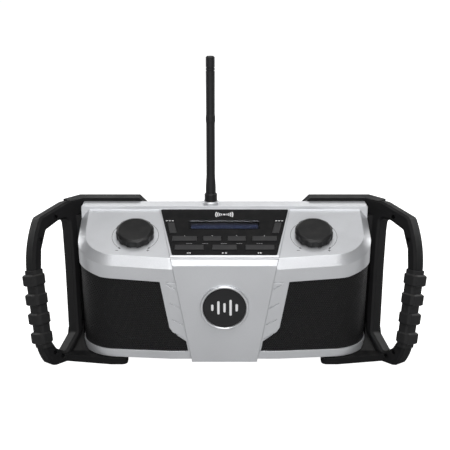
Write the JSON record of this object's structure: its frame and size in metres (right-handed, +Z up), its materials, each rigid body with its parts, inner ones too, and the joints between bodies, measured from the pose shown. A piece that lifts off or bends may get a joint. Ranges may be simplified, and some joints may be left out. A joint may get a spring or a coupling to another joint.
{
  "type": "jobsite radio",
  "caption": "Rugged portable worksite radio with side carrying frames, wrap-round grilles, sloped control panel, turning knobs and a rubber whip antenna.",
  "frame": {"origin": "centre of the footprint's bounding box, on the ground", "axes": "+X to the right when facing the front, the front faces -Y, +Z up"},
  "size_m": [0.3756, 0.1186, 0.2784],
  "materials": {
    "silver_plastic": "satin metallic paint",
    "black_plastic": "fine texture",
    "panel_black": "gloss",
    "key_black": "satin",
    "knob_black": "satin",
    "grille_black": "perforated sheet",
    "rubber_black": "matte",
    "grip_rubber": "matte",
    "display_lens": "clear tinted",
    "display": "backlit",
    "circuit_board": "solder mask",
    "switch_metal": "plated",
    "steel": "zinc plated",
    "dark_steel": "black oxide",
    "brass": "bare",
    "badge_metal": "satin",
    "badge_black": "satin",
    "cone_paper": "pressed paper",
    "magnet": "bare"
  },
  "bodies": {
    "cabinet": {"front_fascia": "silver_plastic", "rear_housing": "black_plastic", "centre_shield": "silver_plastic", "control_panel": "panel_black", "lcd_lens": "display_lens", "lcd_module": "display", "key_board": "circuit_board", "key_switches": "switch_metal", "board_screws": "steel", "badge_ring": "badge_metal", "badge_disc": "badge_black", "left_grille": "grille_black", "right_grille": "grille_black", "left_baffle": "black_plastic", "right_baffle": "black_plastic", "left_speaker_basket": "magnet", "right_speaker_basket": "magnet", "left_speaker_cone": "cone_paper", "right_speaker_cone": "cone_paper", "volume_pot": "steel", "tuning_encoder": "steel", "control_nuts": "steel", "antenna_socket": "silver_plastic", "main_board": "circuit_board", "left_frame": "black_plastic", "right_frame": "black_plastic", "left_frame_cover": "black_plastic", "right_frame_cover": "black_plastic", "left_grip": "grip_rubber", "right_grip": "grip_rubber", "frame_screws": "dark_steel", "mounting_screws": "dark_steel", "housing_screws": "dark_steel", "battery_box": "black_plastic", "battery_plates": "steel", "battery_springs": "steel", "door_pin": "steel", "dc_socket": "black_plastic", "aux_socket": "black_plastic", "foot_pads": "rubber_black"},
    "volume_control": {"volume_knob": "knob_black", "volume_shaft": "steel"},
    "tuning_push": {"encoder_plunger": "steel"},
    "tuning_control": {"tuning_knob": "knob_black", "tuning_shaft": "steel"},
    "antenna": {"antenna_whip": "rubber_black", "antenna_ring": "black_plastic", "antenna_stud": "brass"},
    "battery_door": {"battery_door": "black_plastic"},
    "door_lock": {"door_lock": "black_plastic"},
    "socket_cover": {"socket_cover": "rubber_black"},
    "key_mode": {"key_mode": "key_black"},
    "key_info": {"key_info": "key_black"},
    "key_preset_1": {"key_preset_1": "key_black"},
    "key_preset_2": {"key_preset_2": "key_black"},
    "key_preset_3": {"key_preset_3": "key_black"},
    "key_preset_4": {"key_preset_4": "key_black"},
    "key_back": {"key_back": "key_black"},
    "key_play": {"key_play": "key_black"},
    "key_next": {"key_next": "key_black"}
  },
  "joints": [
    {"name": "volume_turn", "type": "hinge", "parent": "cabinet", "child": "volume_control", "pos_m": [-0.0814, -0.02725, 0.12092], "axis": [0, -0.4083, 0.9128], "range_deg": [-150, 150]},
    {"name": "tuning_press", "type": "slide", "parent": "cabinet", "child": "tuning_push", "axis": [0, 0.4083, -0.9128], "range_m": [0, 0.0007], "stiffness_N_per_m": 3000, "springref_m": -0.0008},
    {"name": "tuning_turn", "type": "hinge", "parent": "tuning_push", "child": "tuning_control", "pos_m": [0.0814, -0.02725, 0.12092], "axis": [0, -0.4083, 0.9128], "continuous": true},
    {"name": "antenna_turn", "type": "hinge", "parent": "cabinet", "child": "antenna", "pos_m": [-0.013, 0.0162, 0.1395], "axis": [0, 0, 1], "continuous": true},
    {"name": "door_swing", "type": "hinge", "parent": "cabinet", "child": "battery_door", "pos_m": [-0.055, 0.0577, 0.046], "axis": [0, 0, 1], "range_deg": [0, 95]},
    {"name": "lock_turn", "type": "hinge", "parent": "battery_door", "child": "door_lock", "pos_m": [0.047, 0.0577, 0.046], "axis": [0, -1, 0], "range_deg": [0, 90]},
    {"name": "cover_swing", "type": "hinge", "parent": "cabinet", "child": "socket_cover", "pos_m": [0.1097, 0.0581, 0.042], "axis": [0, 0, -1], "range_deg": [0, 90]},
    {"name": "key_mode_press", "type": "slide", "parent": "cabinet", "child": "key_mode", "axis": [0, 0.4083, -0.9128], "range_m": [0, 0.0009], "stiffness_N_per_m": 1500, "springref_m": -0.0006},
    {"name": "key_info_press", "type": "slide", "parent": "cabinet", "child": "key_info", "axis": [0, 0.4083, -0.9128], "range_m": [0, 0.0009], "stiffness_N_per_m": 1500, "springref_m": -0.0006},
    {"name": "key_preset_1_press", "type": "slide", "parent": "cabinet", "child": "key_preset_1", "axis": [0, 0.4083, -0.9128], "range_m": [0, 0.0009], "stiffness_N_per_m": 1500, "springref_m": -0.0006},
    {"name": "key_preset_2_press", "type": "slide", "parent": "cabinet", "child": "key_preset_2", "axis": [0, 0.4083, -0.9128], "range_m": [0, 0.0009], "stiffness_N_per_m": 1500, "springref_m": -0.0006},
    {"name": "key_preset_3_press", "type": "slide", "parent": "cabinet", "child": "key_preset_3", "axis": [0, 0.4083, -0.9128], "range_m": [0, 0.0009], "stiffness_N_per_m": 1500, "springref_m": -0.0006},
    {"name": "key_preset_4_press", "type": "slide", "parent": "cabinet", "child": "key_preset_4", "axis": [0, 0.4083, -0.9128], "range_m": [0, 0.0009], "stiffness_N_per_m": 1500, "springref_m": -0.0006},
    {"name": "key_back_press", "type": "slide", "parent": "cabinet", "child": "key_back", "axis": [0, 0.4083, -0.9128], "range_m": [0, 0.0009], "stiffness_N_per_m": 1500, "springref_m": -0.0006},
    {"name": "key_play_press", "type": "slide", "parent": "cabinet", "child": "key_play", "axis": [0, 0.4083, -0.9128], "range_m": [0, 0.0009], "stiffness_N_per_m": 1500, "springref_m": -0.0006},
    {"name": "key_next_press", "type": "slide", "parent": "cabinet", "child": "key_next", "axis": [0, 0.4083, -0.9128], "range_m": [0, 0.0009], "stiffness_N_per_m": 1500, "springref_m": -0.0006}
  ]
}
